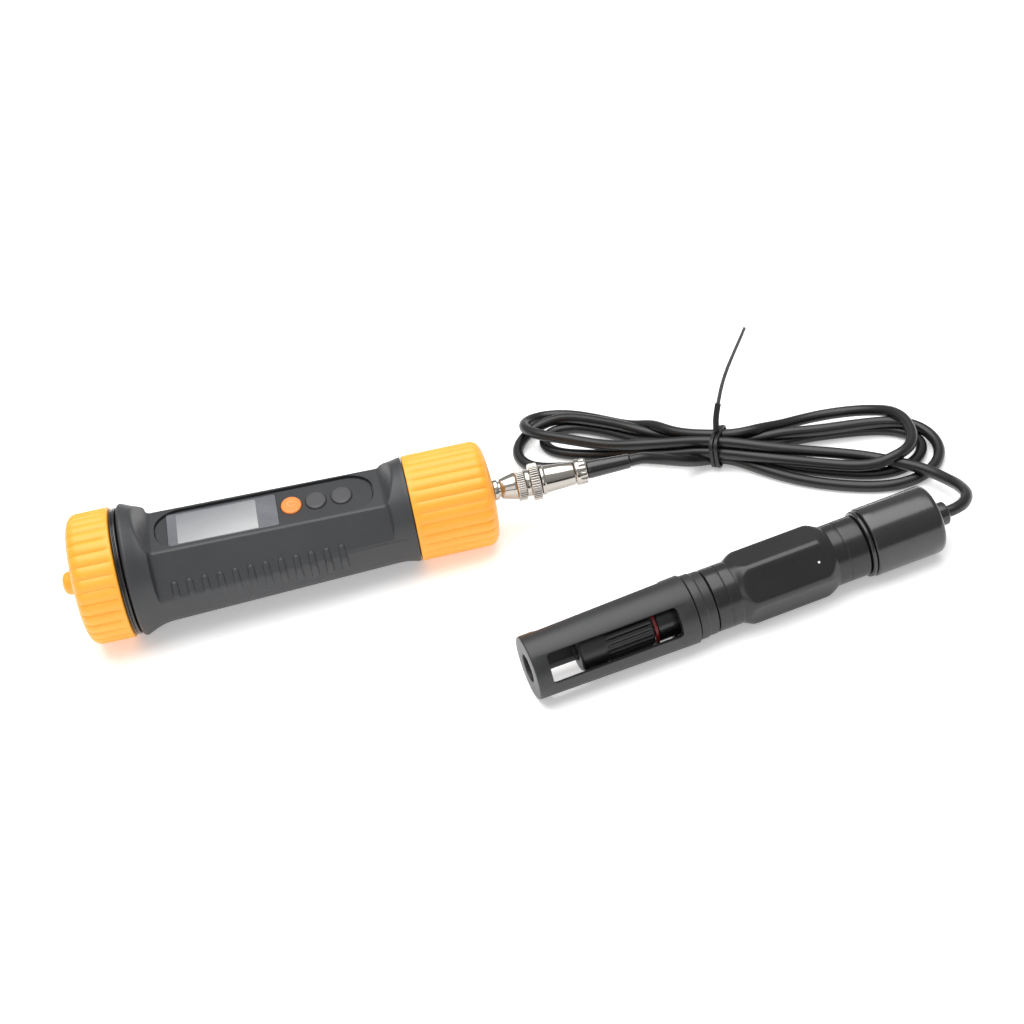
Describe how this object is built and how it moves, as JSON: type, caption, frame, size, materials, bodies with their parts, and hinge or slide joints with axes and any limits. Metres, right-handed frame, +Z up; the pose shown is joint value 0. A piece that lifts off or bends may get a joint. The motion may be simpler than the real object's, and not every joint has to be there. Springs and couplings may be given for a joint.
{
  "type": "water quality probe",
  "caption": "Hand-held dissolved oxygen meter with screw caps, display and keys, joined by a tied cable and bayonet plug to a slotted electrode with a hexagonal grip.",
  "frame": {"origin": "centre of the footprint of the meter and the electrode, on the surface they lie on", "axes": "+X along the electrode towards its cable, +Z up, +Y from the electrode towards the meter"},
  "size_m": [0.3355, 0.1781, 0.0522],
  "materials": {
    "grey_shell": "fine matt moulded texture",
    "yellow_cap": "satin moulded, ribbed for grip",
    "black_plastic": "semi-gloss moulded",
    "black_rubber": "smooth seal rubber",
    "red_rubber": "smooth silicone",
    "panel_film": "printed film, satin",
    "orange_key": "matt silicone key",
    "grey_key": "matt silicone key",
    "window_glass": "clear window",
    "screen": "reflective display, off",
    "circuit_board": "solder mask",
    "nickel": "bright nickel plating",
    "steel": "plain",
    "brass_contact": "gold plated",
    "white_plastic": "plain",
    "cable": "satin cable jacket"
  },
  "bodies": {
    "base": {"housing": "grey_shell", "battery_cap_seal": "black_rubber", "face_panel": "panel_film", "display_window": "window_glass", "display_screen": "screen", "circuit_board": "circuit_board", "battery_holder": "black_plastic", "coin_cell_1": "steel", "coin_cell_2": "steel", "coin_cell_3": "steel", "coin_cell_4": "steel", "sensor_module": "black_plastic", "jack_barrel": "nickel", "jack_nut": "nickel", "jack_insulator": "white_plastic", "plug_body": "nickel", "plug_nut": "nickel", "plug_boot": "black_rubber", "membrane_cap": "black_plastic", "membrane": "white_plastic", "cathode": "brass_contact", "electrode_core": "white_plastic", "anode": "steel", "membrane_seal": "red_rubber", "electrode_body": "black_plastic", "rear_seal": "black_rubber", "rear_cap": "black_plastic", "cable_gland": "black_plastic", "cable_to_meter": "cable", "cable_to_electrode": "cable", "cable_hank": "cable", "cable_tie": "black_plastic", "cable_tie_tail": "black_plastic"},
    "battery_contact": {"battery_contact": "brass_contact"},
    "battery_cap": {"battery_cap": "yellow_cap"},
    "sensor_collar": {"sensor_collar": "yellow_cap"},
    "bayonet_ring": {"bayonet_ring": "nickel"},
    "power_button": {"power_button": "orange_key"},
    "cal_button": {"cal_button": "grey_key"},
    "mode_button": {"mode_button": "grey_key"},
    "guard": {"guard": "black_plastic"},
    "guard_nut": {"guard_nut": "black_plastic"}
  },
  "joints": [
    {"name": "battery_cap_travel", "type": "slide", "parent": "base", "child": "battery_contact", "axis": [-0.9849, 0.1684, 0.0393], "range_m": [0, 0.003]},
    {"name": "battery_cap_turn", "type": "hinge", "parent": "battery_contact", "child": "battery_cap", "pos_m": [-0.1312, 0.0561, 0.02619], "axis": [-0.9849, 0.1684, 0.0393], "range_deg": [0, 540]},
    {"name": "sensor_collar_turn", "type": "hinge", "parent": "base", "child": "sensor_collar", "pos_m": [-0.00513, 0.03455, 0.02116], "axis": [0.9849, -0.1684, -0.0393], "range_deg": [0, 360]},
    {"name": "bayonet_turn", "type": "hinge", "parent": "base", "child": "bayonet_ring", "pos_m": [0.02442, 0.0295, 0.01998], "axis": [0.9849, -0.1684, -0.0393], "range_deg": [0, 90]},
    {"name": "guard_travel", "type": "slide", "parent": "base", "child": "guard", "axis": [-1, 0, 0], "range_m": [0, 0.00225]},
    {"name": "guard_nut_turn", "type": "hinge", "parent": "guard", "child": "guard_nut", "pos_m": [0.0549, -0.0694, 0.0129], "axis": [-1, 0, 0], "range_deg": [0, 540]},
    {"name": "power_button_press", "type": "slide", "parent": "base", "child": "power_button", "axis": [-0.0576, 0.0099, -0.9983], "range_m": [0, 0.0006], "stiffness_N_per_m": 900},
    {"name": "cal_button_press", "type": "slide", "parent": "base", "child": "cal_button", "axis": [-0.0576, 0.0099, -0.9983], "range_m": [0, 0.0006], "stiffness_N_per_m": 900},
    {"name": "mode_button_press", "type": "slide", "parent": "base", "child": "mode_button", "axis": [-0.0576, 0.0099, -0.9983], "range_m": [0, 0.0006], "stiffness_N_per_m": 900}
  ],
  "couplings": [
    {"joint": "battery_cap_travel", "follows": "battery_cap_turn", "m_per_rad": 0.00031831},
    {"joint": "guard_travel", "follows": "guard_nut_turn", "m_per_rad": 0.00023873}
  ]
}
